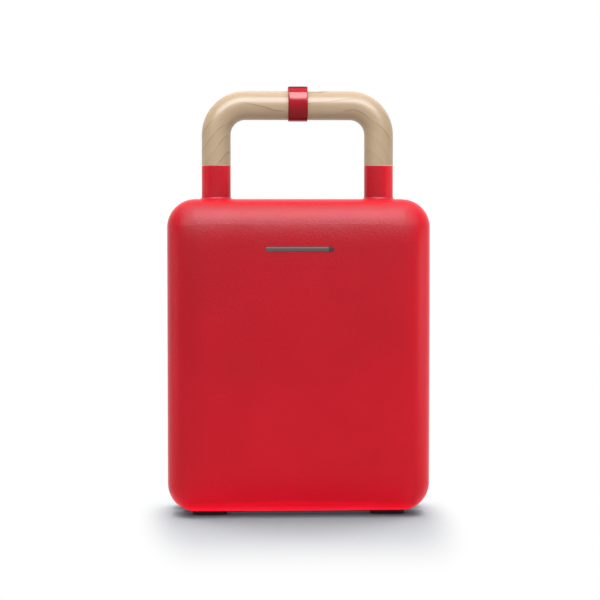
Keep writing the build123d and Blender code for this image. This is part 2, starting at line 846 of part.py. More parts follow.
def make_screws():
    seat = frame_face + 2.4
    with BuildPart() as lid_frame_screws:
        with BuildSketch(at_depth(seat - 1.9)):
            with Locations(*screw_places()):
                Circle(2.9)
        extrude(amount=1.9)
        with BuildSketch(at_depth(seat)):
            with Locations(*screw_places()):
                Circle(frame_screw_radius)
        extrude(amount=boss_face + 12 - seat)
        with BuildSketch(at_depth(seat - 1.9)):
            with Locations(*screw_places()):
                Rectangle(3.6, 0.8)
                Rectangle(0.8, 3.6)
        extrude(amount=1, mode=Mode.SUBTRACT)
    lid_frame_screws.part.label = "lid_frame_screws"
    export_step(lid_frame_screws.part, "parts/lid_frame_screws.step")
    with BuildPart() as base_frame_screws:
        mirror(lid_frame_screws.part, about=Plane.XZ)
    base_frame_screws.part.label = "base_frame_screws"
    export_step(base_frame_screws.part, "parts/base_frame_screws.step")
    head_face = body_top - wall - 3
    places = [(x, -grip_screw_depth) for x in (-leg_x, leg_x)]
    with BuildPart() as lid_grip_screws:
        with BuildSketch(Plane.XY.offset(head_face - 2.2)):
            with Locations(*places):
                Circle(2.7)
        extrude(amount=2.2)
        with BuildSketch(Plane.XY.offset(head_face)):
            with Locations(*places):
                Circle(grip_screw_radius)
        extrude(amount=sleeve_top - tenon_length + 17 - head_face)
        with BuildSketch(Plane.XY.offset(head_face - 2.2)):
            with Locations(*places):
                Rectangle(3.6, 0.8)
                Rectangle(0.8, 3.6)
        extrude(amount=1.1, mode=Mode.SUBTRACT)
    lid_grip_screws.part.label = "lid_grip_screws"
    export_step(lid_grip_screws.part, "parts/lid_grip_screws.step")
    with BuildPart() as base_grip_screws:
        mirror(lid_grip_screws.part, about=Plane.XZ)
    base_grip_screws.part.label = "base_grip_screws"
    export_step(base_grip_screws.part, "parts/base_grip_screws.step")
    with BuildPart() as collar_screw:
        with BuildSketch(at_depth(1)):
            with Locations((0, bar_height)):
                Circle(2.5)
        extrude(amount=2)
        with BuildSketch(at_depth(3)):
            with Locations((0, bar_height)):
                Circle(1.3)
        extrude(amount=grip_radius - collar_groove - 3 + 1.4)
        with BuildSketch(at_depth(1)):
            with Locations((0, bar_height)):
                Rectangle(3.4, 0.7)
        extrude(amount=0.8, mode=Mode.SUBTRACT)
    collar_screw.part.label = "collar_screw"
    export_step(collar_screw.part, "parts/collar_screw.step")


def make_indicator():
    with BuildPart() as indicator_lens:
        with BuildSketch(at_depth(pad_depth - lens_flange)):
            with Locations((0, slot_z)):
                RectangleRounded(slot_length + 1.6, 9, 2)
        extrude(amount=lens_flange)
        with BuildSketch(at_depth(pad_depth)):
            with Locations((0, slot_z)):
                SlotOverall(slot_length - 2 * 0.2, slot_height - 2 * 0.2)
        extrude(amount=4.3)
    indicator_lens.part.label = "indicator_lens"
    export_step(indicator_lens.part, "parts/indicator_lens.step")
    back = pad_depth - lens_flange
    with BuildPart() as lamp_holder:
        with BuildSketch(at_depth(back)):
            with Locations((0, slot_z)):
                RectangleRounded(slot_length + 1.6, 11, 2)
                Rectangle(slot_length - 4, 7, mode=Mode.SUBTRACT)
        extrude(amount=-holder_depth)
        with BuildSketch(at_depth(back - holder_depth)):
            with Locations((0, slot_z)):
                Rectangle(slot_length - 4, 7)
            with Locations(*both_sides(lamp_x, slot_z)):
                Circle(2.6, mode=Mode.SUBTRACT)
        extrude(amount=2)
        with BuildSketch(at_depth(pad_depth)):
            with Locations(*both_sides(slot_length / 2 + 3.4, slot_z)):
                Rectangle(6, 8)
        extrude(amount=-3)
        with BuildSketch(at_depth(pad_depth)):
            with Locations((0, slot_z)):
                Rectangle(slot_length + 2.2, 9.6)
        extrude(amount=-lens_flange, mode=Mode.SUBTRACT)
        with BuildSketch(at_depth(pad_depth)):
            with Locations(*both_sides(slot_length / 2 + 3.4, slot_z)):
                Circle(1.2)
        extrude(amount=-3, mode=Mode.SUBTRACT)
    lamp_holder.part.label = "lamp_holder"
    export_step(lamp_holder.part, "parts/lamp_holder.step")
    with BuildPart() as indicator_lamps:
        with BuildSketch(at_depth(back - holder_depth - 1.5)):
            with Locations(*both_sides(lamp_x, slot_z)):
                Circle(2.55)
        extrude(amount=holder_depth - 1.5)
        fillet(indicator_lamps.faces().sort_by(Axis.Y)[:2].edges(), 2)
        with BuildSketch(at_depth(back - holder_depth - 1.5)):
            with Locations(*both_sides(lamp_x, slot_z)):
                Circle(3.4)
        extrude(amount=1.5)
    indicator_lamps.part.label = "indicator_lamps"
    export_step(indicator_lamps.part, "parts/indicator_lamps.step")
    with BuildPart() as lamp_holder_screws:
        with BuildSketch(at_depth(pad_depth - 3 - 1.4)):
            with Locations(*both_sides(slot_length / 2 + 3.4, slot_z)):
                Circle(2.2)
        extrude(amount=1.4)
        with BuildSketch(at_depth(pad_depth - 3)):
            with Locations(*both_sides(slot_length / 2 + 3.4, slot_z)):
                Circle(1.05)
        extrude(amount=4.6)
    lamp_holder_screws.part.label = "lamp_holder_screws"
    export_step(lamp_holder_screws.part, "parts/lamp_holder_screws.step")


def make_controls():
    """Thermostat and fuse on the back of the pan, terminal block on the shell."""
    pan_back = -(reflector_floor + reflector_sheet)
    with BuildPart() as thermostat:
        with BuildSketch(at_depth(pan_back)):
            with Locations((0, control_z)):
                SlotOverall(30, 11)
        extrude(amount=-1)
        with BuildSketch(at_depth(pan_back - 1)):
            with Locations((0, control_z)):
                Circle(8)
        extrude(amount=-7)
        with BuildSketch(at_depth(pan_back - 8)):
            with Locations(*both_sides(tab_x, control_z)):
                Rectangle(1, 6)
        extrude(amount=-4)
    thermostat.part.label = "thermostat"
    export_step(thermostat.part, "parts/thermostat.step")
    with BuildPart() as fuse_holder:
        with BuildSketch(at_depth(pan_back)):
            with Locations((fuse_x, control_z)):
                Rectangle(8, 26)
        extrude(amount=-1)
        with BuildSketch(at_depth(pan_back - 1)):
            with Locations((fuse_x, control_z - 9), (fuse_x, control_z + 9)):
                Rectangle(8, 3)
        extrude(amount=-5)
        with BuildSketch(Plane.XY.offset(control_z - 30)):
            with Locations((fuse_x, fuse_depth)):
                Circle(2 + running_gap)
        extrude(amount=60, mode=Mode.SUBTRACT)
    fuse_holder.part.label = "fuse_holder"
    export_step(fuse_holder.part, "parts/fuse_holder.step")
    with BuildPart() as thermal_fuse:
        with BuildSketch(Plane.XY.offset(control_z - 13)):
            with Locations((fuse_x, fuse_depth)):
                Circle(2)
        extrude(amount=26)
        with BuildSketch(Plane.XY.offset(control_z - 21)):
            with Locations((fuse_x, fuse_depth)):
                Circle(0.7)
        extrude(amount=42)
    thermal_fuse.part.label = "thermal_fuse"
    export_step(thermal_fuse.part, "parts/thermal_fuse.step")
    with BuildPart() as terminal_block:
        with BuildSketch(at_depth(-block_back)):
            with Locations((0, block_z)):
                Rectangle(block_width, 18)
        extrude(amount=7)
        for row in range(3):
            with BuildSketch(at_depth(-block_back + 7)):
                with Locations((8 * (row - 1), block_z)):
                    Circle(2.2)
            extrude(amount=-4, mode=Mode.SUBTRACT)
        with BuildSketch(at_depth(-block_back)):
            with Locations(*both_sides(block_width / 2 - 4, block_z)):
                Circle(1.5)
        extrude(amount=8, mode=Mode.SUBTRACT)
    terminal_block.part.label = "terminal_block"
    export_step(terminal_block.part, "parts/terminal_block.step")
    with BuildPart() as terminal_screws:
        with BuildSketch(at_depth(-block_back + 7)):
            with Locations(*both_sides(block_width / 2 - 4, block_z)):
                Circle(2.6)
        extrude(amount=1.2)
        with BuildSketch(at_depth(-block_back - 2)):
            with Locations(*both_sides(block_width / 2 - 4, block_z)):
                Circle(1.3)
        extrude(amount=9)
    terminal_screws.part.label = "terminal_screws"
    export_step(terminal_screws.part, "parts/terminal_screws.step")


def lead_end(x, depth, z, reach, rise):
    """Face, bend and tangent of one end of a lead. Reach 0 leaves the face upright."""
    up = math.copysign(reach, rise)
    half = math.sin(math.radians(45))
    face = Vector(x, -depth, z)
    middle = face + Vector(0, -half * reach, (1 - half) * up)
    far = face + Vector(0, -reach, up)
    return face, middle, far, Vector(0, 0, rise)


def lead(radius, start, end, via=()):
    """Round lead on the lid side, each end given as x, depth, z, reach and rise."""
    face, middle, far, leaving = lead_end(*start)
    last_face, last_middle, last_far, arriving = lead_end(*end)
    with BuildPart() as core:
        with BuildLine() as run:
            if face != far:
                ThreePointArc(face, middle, far)
            Spline(far, *via, last_far, tangents=(leaving, -arriving))
            if last_face != last_far:
                ThreePointArc(last_far, last_middle, last_face)
        path = run.wires()[0]
        with BuildSketch(Plane(origin=path @ 0, z_dir=path % 0)):
            Circle(radius)
        sweep(path=path)
    return core.part


def make_wiring():
    left, right = element_legs()
    pin_end = element_depth + 14
    lamp_back = pad_depth - lens_flange - holder_depth - 1.5
    with BuildPart() as lid_wiring:
        for side in (-1, 1):
            pin = (side * right, pin_end, element_low, lead_bend, 1)
            lamp = (side * lamp_x, lamp_back, slot_z, -3, -1)
            add(lead(lamp_lead_radius, pin, lamp))
    lid_wiring.part.label = "lid_wiring"
    export_step(lid_wiring.part, "parts/lid_wiring.step")
    block_depth = block_back - 3.5
    tab_depth = reflector_floor + reflector_sheet + 10
    left_pin = (left, pin_end, element_low, lead_bend, 1)
    right_pin = (right, pin_end, element_low, lead_bend, 1)
    block_low = (-8, block_depth, block_z - 9, 0, -1)
    block_high = (8, block_depth, block_z + 9, 0, 1)
    fuse_low = (fuse_x, fuse_depth, control_z - 21, 0, -1)
    fuse_high = (fuse_x, fuse_depth, control_z + 21, 0, 1)
    tab_low = (tab_x, tab_depth, control_z - 3, 0, -1)
    tab_high = (-tab_x, tab_depth, control_z + 3, 0, 1)
    crest = Vector((fuse_x - tab_x) / 2, -(tab_depth + fuse_depth) / 2, control_z + 34.5)
    with BuildPart() as base_wiring:
        mirror(lead(lead_radius, block_low, left_pin), about=Plane.XZ)
        mirror(lead(lead_radius, block_high, tab_low), about=Plane.XZ)
        mirror(lead(lead_radius, tab_high, fuse_high, [crest]), about=Plane.XZ)
        mirror(lead(lead_radius, fuse_low, right_pin), about=Plane.XZ)
    base_wiring.part.label = "base_wiring"
    export_step(base_wiring.part, "parts/base_wiring.step")


def make_cord_gland():
    with BuildPart() as cord_gland:
        with BuildSketch(Plane.YZ.offset(cord_x)):
            with BuildLine():
                Polyline(
                    (cord_depth + 2.2, cord_ceiling - 18),
                    (cord_depth + 3.4, cord_ceiling - 18),
                    (cord_depth + 4.4, cord_ceiling - 3),
                    (cord_depth + 4.8, cord_ceiling - 3),
                    (cord_depth + 4.8, cord_ceiling),
                    (cord_depth + gland_radius, cord_ceiling),
                    (cord_depth + gland_radius, cord_ceiling + wall),
                    (cord_depth + 4.8, cord_ceiling + wall),
                    (cord_depth + 4.8, cord_ceiling + wall + 2.4),
                    (cord_depth + 2.2, cord_ceiling + wall + 2.4),
                    close=True,
                )
            make_face()
        revolve(axis=Axis((cord_x, cord_depth, 0), (0, 0, 1)))
    cord_gland.part.label = "cord_gland"
    export_step(cord_gland.part, "parts/cord_gland.step")


def make_feet():
    with BuildPart() as back_feet:
        with BuildSketch(at_depth(-foot_seat)):
            with Locations(*[(side * foot_x, z) for side in (-1, 1) for z in foot_rows]):
                Circle(foot_radius)
        extrude(amount=-(half_depth - foot_seat))
        fillet(back_feet.faces().sort_by(Axis.Y)[-4:].edges(), 1)
    back_feet.part.label = "back_feet"
    export_step(back_feet.part, "parts/back_feet.step")
    with BuildPart() as lid_standing_pads:
        with BuildSketch(Plane.XY):
            with Locations((-pad_x, -pad_y), (pad_x, -pad_y)):
                SlotOverall(pad_length, pad_width)
        extrude(amount=body_floor + pad_seat)
        fillet(lid_standing_pads.faces().sort_by(Axis.Z)[:2].edges(), 0.6)
    lid_standing_pads.part.label = "lid_standing_pads"
    export_step(lid_standing_pads.part, "parts/lid_standing_pads.step")
    with BuildPart() as base_standing_pads:
        mirror(lid_standing_pads.part, about=Plane.XZ)
    base_standing_pads.part.label = "base_standing_pads"
    export_step(base_standing_pads.part, "parts/base_standing_pads.step")


make_lid_shell()
make_base_shell()
make_lid_frame()
make_base_frame()
make_waffle_plates()
make_plate_releases()
make_release_springs()
make_reflectors()
make_heating_elements()
make_element_clamps()
make_front_grip()
make_rear_grip()
make_clip_collar()
make_latch_clip()
make_pins()
make_screws()
make_indicator()
make_controls()
make_wiring()
make_cord_gland()
make_feet()
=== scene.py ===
import json
import math

import bmesh
import bpy
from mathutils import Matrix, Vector


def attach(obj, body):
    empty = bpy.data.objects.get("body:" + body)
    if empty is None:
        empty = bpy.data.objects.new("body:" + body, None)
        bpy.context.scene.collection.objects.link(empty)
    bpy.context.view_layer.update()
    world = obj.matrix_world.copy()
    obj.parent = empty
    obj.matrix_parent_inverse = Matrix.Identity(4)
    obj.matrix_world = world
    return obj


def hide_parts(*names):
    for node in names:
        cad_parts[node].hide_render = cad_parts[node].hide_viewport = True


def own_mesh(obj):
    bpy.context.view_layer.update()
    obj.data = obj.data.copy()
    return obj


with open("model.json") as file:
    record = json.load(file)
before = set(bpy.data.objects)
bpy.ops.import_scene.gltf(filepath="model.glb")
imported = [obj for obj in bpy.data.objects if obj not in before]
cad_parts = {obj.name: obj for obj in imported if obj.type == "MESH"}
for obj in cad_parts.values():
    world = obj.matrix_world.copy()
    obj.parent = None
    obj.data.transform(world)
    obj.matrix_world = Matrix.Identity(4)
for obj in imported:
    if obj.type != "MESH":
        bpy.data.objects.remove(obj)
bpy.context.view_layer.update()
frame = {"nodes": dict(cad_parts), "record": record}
nodes = frame["nodes"]
bpy.context.scene.view_settings.view_transform = "Standard"
print("frame loaded:", len(nodes), "nodes")


def srgb(red, green, blue):
    out = []
    for channel in (red, green, blue):
        c = channel / 255
        out.append(c / 12.92 if c <= 0.04045 else ((c + 0.055) / 1.055) ** 2.4)
    return (*out, 1.0)


# camera, at the height and slight turn of the photograph
cameraSettings = {"place": (-0.0718, -1.6954, 0.2640), "aim": (0.0022, 0.0, 0.187), "lens": 114.9}

cameraData = bpy.data.cameras.new("productCamera")
cameraData.lens = cameraSettings["lens"]
cameraData.sensor_width = 36
cameraObject = bpy.data.objects.new("productCamera", cameraData)
bpy.context.scene.collection.objects.link(cameraObject)
cameraObject.location = cameraSettings["place"]
aimLine = Vector(cameraSettings["aim"]) - Vector(cameraSettings["place"])
cameraObject.rotation_euler = aimLine.to_track_quat("-Z", "Y").to_euler()
bpy.context.scene.camera = cameraObject
print("camera set")


# small helpers for node trees
def newNode(tree, kind, **values):
    node = tree.nodes.new(kind)
    for key, value in values.items():
        if key in node.inputs:
            node.inputs[key].default_value = value
        else:
            setattr(node, key, value)
    return node


def mathNode(tree, operation, first, second=None, third=None, clamp=False):
    node = tree.nodes.new("ShaderNodeMath")
    node.operation = operation
    node.use_clamp = clamp
    for index, value in enumerate((first, second, third)):
        if value is None:
            continue
        if isinstance(value, (int, float)):
            node.inputs[index].default_value = value
        else:
            tree.links.new(value, node.inputs[index])
    return node.outputs[0]


def rangeNode(tree, value, low, high, toLow=0.0, toHigh=1.0, smooth=True):
    node = tree.nodes.new("ShaderNodeMapRange")
    node.interpolation_type = "SMOOTHSTEP" if smooth else "LINEAR"
    tree.links.new(value, node.inputs["Value"])
    for key, number in (("From Min", low), ("From Max", high), ("To Min", toLow), ("To Max", toHigh)):
        node.inputs[key].default_value = number
    return node.outputs["Result"]


def mixColor(tree, factor, first, second):
    node = tree.nodes.new("ShaderNodeMix")
    node.data_type = "RGBA"
    for socket, value in ((node.inputs[0], factor), (node.inputs[6], first), (node.inputs[7], second)):
        if isinstance(value, (int, float, tuple)):
            socket.default_value = value
        else:
            tree.links.new(value, socket)
    return node.outputs[2]


def noiseNode(tree, vector, scale, detail=2.0, roughness=0.5, distortion=0.0):
    node = tree.nodes.new("ShaderNodeTexNoise")
    node.inputs["Scale"].default_value = scale
    node.inputs["Detail"].default_value = detail
    node.inputs["Roughness"].default_value = roughness
    node.inputs["Distortion"].default_value = distortion
    tree.links.new(vector, node.inputs["Vector"])
    return node.outputs["Fac"]


def newGroup(name, inputs, outputs):
    group = bpy.data.node_groups.new(name, "ShaderNodeTree")
    for label, kind, value in inputs:
        socket = group.interface.new_socket(name=label, in_out="INPUT", socket_type=kind)
        if value is not None:
            socket.default_value = value
    for label, kind in outputs:
        group.interface.new_socket(name=label, in_out="OUTPUT", socket_type=kind)
    start = group.nodes.new("NodeGroupInput")
    end = group.nodes.new("NodeGroupOutput")
    return group, start, end


def placeGroup(tree, group, **values):
    node = tree.nodes.new("ShaderNodeGroup")
    node.node_tree = group
    for key, value in values.items():
        socket = node.inputs[key]
        if isinstance(value, (int, float, tuple)):
            socket.default_value = value
        else:
            tree.links.new(value, socket)
    return node


def newMaterial(name, settings=None):
    material = bpy.data.materials.new(name)
    material.use_nodes = True
    tree = material.node_tree
    tree.nodes.clear()
    shader = tree.nodes.new("ShaderNodeBsdfPrincipled")
    out = tree.nodes.new("ShaderNodeOutputMaterial")
    tree.links.new(shader.outputs[0], out.inputs["Surface"])
    for key, value in (settings or {}).items():
        shader.inputs[key].default_value = value
    place = tree.nodes.new("ShaderNodeTexCoord").outputs["Object"]
    return material, tree, shader, place


def splitPlace(tree, vector):
    split = tree.nodes.new("ShaderNodeSeparateXYZ")
    tree.links.new(vector, split.inputs[0])
    return split.outputs


def seenRays(tree):
    # what the camera, a reflection or glass looks at
    path = tree.nodes.new("ShaderNodeLightPath")
    seen = mathNode(tree, "MAXIMUM", path.outputs["Is Camera Ray"], path.outputs["Is Transmission Ray"])
    return mathNode(tree, "MAXIMUM", seen, path.outputs["Is Glossy Ray"])


def bumpInto(tree, shader, height, strength, distance, normal=None):
    bump = tree.nodes.new("ShaderNodeBump")
    if normal:
        tree.links.new(normal, bump.inputs["Normal"])
    bump.inputs["Strength"].default_value = strength
    bump.inputs["Distance"].default_value = distance
    tree.links.new(height, bump.inputs["Height"])
    tree.links.new(bump.outputs["Normal"], shader.inputs["Normal"])


# shared effects
def makeMouldedGrain():
    look = {"detail": 2.5, "cellScale": 0.55, "cellDepth": 0.5, "patchScale": 14.0, "patchDetail": 3.0}
    group, start, end = newGroup(
        "mouldedGrain",
        [("Vector", "NodeSocketVector", None), ("Grain", "NodeSocketFloat", 1500.0)],
        [("Height", "NodeSocketFloat"), ("Patch", "NodeSocketFloat")],
    )
    vector = start.outputs["Vector"]
    fine = newNode(group, "ShaderNodeTexNoise", Detail=look["detail"])
    group.links.new(vector, fine.inputs["Vector"])
    group.links.new(start.outputs["Grain"], fine.inputs["Scale"])
    cells = newNode(group, "ShaderNodeTexVoronoi", feature="SMOOTH_F1")
    group.links.new(vector, cells.inputs["Vector"])
    cellScale = mathNode(group, "MULTIPLY", start.outputs["Grain"], look["cellScale"])
    group.links.new(cellScale, cells.inputs["Scale"])
    pits = mathNode(group, "MULTIPLY", cells.outputs["Distance"], look["cellDepth"])
    height = mathNode(group, "ADD", fine.outputs["Fac"], pits)
    group.links.new(height, end.inputs["Height"])
    patch = noiseNode(group, vector, look["patchScale"], look["patchDetail"])
    group.links.new(patch, end.inputs["Patch"])
    return group


def makeHandling():
    # faint smears and specks, as fingers and storage leave them
    look = {"smearScale": 22.0, "smearDetail": 5.0, "smearRough": 0.6, "smearBend": 0.6,
            "smearFrom": 0.5, "smearTo": 0.75, "smearShare": 0.7,
            "speckScale": 420.0, "speckFrom": 0.70, "speckTo": 0.78, "speckShare": 0.5}
    group, start, end = newGroup(
        "handling",
        [("Vector", "NodeSocketVector", None), ("Amount", "NodeSocketFloat", 1.0)],
        [("Mask", "NodeSocketFloat")],
    )
    vector = start.outputs["Vector"]
    smear = noiseNode(group, vector, look["smearScale"], look["smearDetail"], look["smearRough"], look["smearBend"])
    smear = rangeNode(group, smear, look["smearFrom"], look["smearTo"])
    speck = rangeNode(group, noiseNode(group, vector, look["speckScale"]), look["speckFrom"], look["speckTo"])
    smear = mathNode(group, "MULTIPLY", smear, look["smearShare"])
    speck = mathNode(group, "MULTIPLY", speck, look["speckShare"])
    both = mathNode(group, "ADD", smear, speck)
    mask = mathNode(group, "MULTIPLY", both, start.outputs["Amount"], clamp=True)
    group.links.new(mask, end.inputs["Mask"])
    return group


def makeEdgeWear():
    # compares the true normal with a rounded one, which differ only near an edge
    look = {"samples": 4, "flat": 0.995, "worn": 0.90, "breakScale": 260.0, "breakDetail": 3.0,
            "breakFrom": 0.42, "breakTo": 0.62}
    group, start, end = newGroup(
        "edgeWear",
        [("Vector", "NodeSocketVector", None), ("Radius", "NodeSocketFloat", 0.0006)],
        [("Mask", "NodeSocketFloat")],
    )
    rounded = newNode(group, "ShaderNodeBevel", samples=look["samples"])
    group.links.new(start.outputs["Radius"], rounded.inputs["Radius"])
    plain = newNode(group, "ShaderNodeNewGeometry")
    dot = newNode(group, "ShaderNodeVectorMath", operation="DOT_PRODUCT")
    group.links.new(rounded.outputs["Normal"], dot.inputs[0])
    group.links.new(plain.outputs["Normal"], dot.inputs[1])
    edge = rangeNode(group, dot.outputs["Value"], look["flat"], look["worn"])
    broken = noiseNode(group, start.outputs["Vector"], look["breakScale"], look["breakDetail"])
    broken = rangeNode(group, broken, look["breakFrom"], look["breakTo"])
    group.links.new(mathNode(group, "MULTIPLY", edge, broken), end.inputs["Mask"])
    return group


def makeBarGrain():
    # follows the bent bar: along runs down its length, across from its inner side outwards
    bend = {"centreX": 0.046, "centreZ": 0.333, "radius": 0.0258, "turn": 0.012, "tiny": 0.000001}
    look = {"sideShift": 0.37, "depthLean": 0.45, "sway": 0.020, "swayDetail": 1.5, "sideRing": 0.0031,
            "pitch": 0.0120, "sharp": 34.0, "fadeScale": 2.3, "fadeFrom": 0.44, "fadeTo": 0.62,
            "swayStretch": (14.0, 30.0, 30.0), "hairStretch": (60.0, 1500.0, 500.0), "hairDetail": 3.0}
    group, start, end = newGroup(
        "barGrain",
        [("Vector", "NodeSocketVector", None), ("Leg", "NodeSocketFloat", 0.7), ("Bar", "NodeSocketFloat", 0.1)],
        [("Rings", "NodeSocketFloat"), ("Lines", "NodeSocketFloat"), ("Fibre", "NodeSocketFloat")],
    )

    def calc(operation, first, second=None, third=None):
        return mathNode(group, operation, first, second, third)

    def stretched(values, factors):
        joined = newNode(group, "ShaderNodeCombineXYZ")
        for index, (value, factor) in enumerate(zip(values, factors)):
            group.links.new(calc("MULTIPLY", value, factor), joined.inputs[index])
        return joined.outputs[0]

    x, y, z = splitPlace(group, start.outputs["Vector"])
    side = calc("SIGN", x)
    outX = calc("SUBTRACT", calc("ABSOLUTE", x), bend["centreX"])
    outZ = calc("SUBTRACT", z, bend["centreZ"])
    posX = calc("MAXIMUM", outX, 0.0)
    posZ = calc("MAXIMUM", outZ, 0.0)
    across = calc("SQRT", calc("ADD", calc("MULTIPLY", posX, posX), calc("MULTIPLY", posZ, posZ)))
    angle = calc("ARCTAN2", posZ, calc("MAXIMUM", posX, bend["tiny"]))
    along = calc("MULTIPLY", angle, bend["radius"])
    along = calc("ADD", along, calc("MINIMUM", outZ, 0.0))
    along = calc("SUBTRACT", along, calc("MINIMUM", outX, 0.0))
    shifted = calc("ADD", along, calc("MULTIPLY", side, look["sideShift"]))
    low = stretched((shifted, across, y), look["swayStretch"])
    sway = calc("SUBTRACT", noiseNode(group, low, 1.0, look["swayDetail"]), 0.5)
    ring = calc("ADD", across, calc("MULTIPLY", y, look["depthLean"]))
    pastTurn = calc("SUBTRACT", along, bend["turn"])
    ring = calc("MULTIPLY_ADD", calc("MINIMUM", pastTurn, 0.0), start.outputs["Leg"], ring)
    ring = calc("MULTIPLY_ADD", calc("MAXIMUM", pastTurn, 0.0), start.outputs["Bar"], ring)
    ring = calc("ADD", ring, calc("MULTIPLY", sway, look["sway"]))
    ring = calc("ADD", ring, calc("MULTIPLY", side, look["sideRing"]))
    turns = calc("FRACT", calc("MULTIPLY", ring, 1 / look["pitch"]))
    group.links.new(turns, end.inputs["Rings"])
    fade = rangeNode(group, noiseNode(group, low, look["fadeScale"]), look["fadeFrom"], look["fadeTo"])
    group.links.new(calc("MULTIPLY", calc("POWER", turns, look["sharp"]), fade), end.inputs["Lines"])
    hair = stretched((shifted, ring, y), look["hairStretch"])
    group.links.new(noiseNode(group, hair, 1.0, look["hairDetail"]), end.inputs["Fibre"])
    return group


def makeEasedFace():
    # the flat faces start to curve a little before the rounding does, as moulded ones do
    ease = {"halfWidth": 0.115, "top": 0.2765, "bottom": 0.003, "round": 0.022,
            "inward": 0.024, "outward": 0.015, "flatFrom": 0.5, "flatTo": 0.9}
    group, start, end = newGroup(
        "easedFace",
        [("Vector", "NodeSocketVector", None), ("Normal", "NodeSocketVector", None),
         ("Lean", "NodeSocketFloat", 0.20)],
        [("Normal", "NodeSocketVector")],
    )

    def calc(operation, first, second=None):
        return mathNode(group, operation, first, second)

    def turn(fromEdge):
        rising = rangeNode(group, fromEdge, ease["round"] - ease["outward"], ease["round"], smooth=False)
        falling = rangeNode(group, fromEdge, ease["round"] + ease["inward"], ease["round"], smooth=False)
        near = calc("MINIMUM", rising, falling)
        return calc("MULTIPLY", calc("MULTIPLY", near, near), start.outputs["Lean"])

    x, _, z = splitPlace(group, start.outputs["Vector"])
    above = turn(calc("SUBTRACT", ease["top"], z))
    below = turn(calc("SUBTRACT", z, ease["bottom"]))
    beside = turn(calc("SUBTRACT", ease["halfWidth"], calc("ABSOLUTE", x)))
    ownY = splitPlace(group, start.outputs["Normal"])[1]
    facing = rangeNode(group, calc("ABSOLUTE", ownY), ease["flatFrom"], ease["flatTo"])
    lean = newNode(group, "ShaderNodeCombineXYZ")
    sideways = calc("MULTIPLY", beside, calc("SIGN", x))
    group.links.new(calc("MULTIPLY", sideways, facing), lean.inputs[0])
    upward = calc("SUBTRACT", above, below)
    group.links.new(calc("MULTIPLY", upward, facing), lean.inputs[2])
    total = newNode(group, "ShaderNodeVectorMath", operation="ADD")
    group.links.new(start.outputs["Normal"], total.inputs[0])
    group.links.new(lean.outputs[0], total.inputs[1])
    world = newNode(group, "ShaderNodeVectorTransform", vector_type="NORMAL",
                    convert_from="OBJECT", convert_to="WORLD")
    group.links.new(total.outputs[0], world.inputs[0])
    group.links.new(world.outputs[0], end.inputs["Normal"])
    return group


mouldedGrain = makeMouldedGrain()
easedFace = makeEasedFace()
handling = makeHandling()
edgeWear = makeEdgeWear()
barGrain = makeBarGrain()


# finishes
def makeRedHousing():
    look = {"red": srgb(147, 4, 19), "deep": srgb(141, 3, 16), "toneFrom": 0.3, "toneTo": 0.7,
            "sleeveLitRed": srgb(160, 4, 20), "sleeveFoot": 0.279, "sleeveFade": 0.002,
            "rimHighlight": srgb(236, 160, 156), "rimHeight": 0.3061, "rimFade": 0.0009, "rimShare": 0.6,
            "bounce": srgb(88, 84, 90), "gloss": 0.2, "tint": (1.0, 0.92, 1.0, 1.0),
            "rough": 0.285, "roughSmear": 0.05, "roughPatch": 0.05,
            "grain": 780.0, "relief": 0.55, "depth": 0.0003, "lean": 0.20}
    material, tree, shader, place = newMaterial(
        "redHousing", {"Specular IOR Level": look["gloss"], "Specular Tint": look["tint"]})
    grain = placeGroup(tree, mouldedGrain, Vector=place, Grain=look["grain"])
    patch = grain.outputs["Patch"]
    smear = placeGroup(tree, handling, Vector=place, Amount=1.0)
    body = mixColor(tree, rangeNode(tree, patch, look["toneFrom"], look["toneTo"]), look["red"], look["deep"])
    height = splitPlace(tree, place)["Z"]
    # painted light: the sleeves are painted a brighter red than the body, standing in for the light that falls on
    # them
    litSleeveMask = rangeNode(tree, height, look["sleeveFoot"] - look["sleeveFade"], look["sleeveFoot"])
    body = mixColor(tree, litSleeveMask, body, look["sleeveLitRed"])
    # painted highlight: the sleeves' mouths are painted pale, standing in for the light their rims catch
    rimFoot = look["rimHeight"] - look["rimFade"]
    paintedRimHighlight = rangeNode(tree, height, rimFoot, look["rimHeight"], 0.0, look["rimShare"])
    body = mixColor(tree, paintedRimHighlight, body, look["rimHighlight"])
    # what it throws on its surroundings is kept grey, as in the photograph
    thrown = tree.nodes.new("ShaderNodeLightPath").outputs["Is Diffuse Ray"]
    tree.links.new(mixColor(tree, thrown, body, look["bounce"]), shader.inputs["Base Color"])
    rough = mathNode(tree, "MULTIPLY_ADD", smear.outputs["Mask"], look["roughSmear"], look["rough"])
    rough = mathNode(tree, "ADD", rough, mathNode(tree, "MULTIPLY", patch, look["roughPatch"]))
    tree.links.new(rough, shader.inputs["Roughness"])
    own = tree.nodes.new("ShaderNodeTexCoord").outputs["Normal"]
    eased = placeGroup(tree, easedFace, Vector=place, Normal=own, Lean=look["lean"])
    bumpInto(tree, shader, grain.outputs["Height"], look["relief"], look["depth"], eased.outputs["Normal"])
    return material


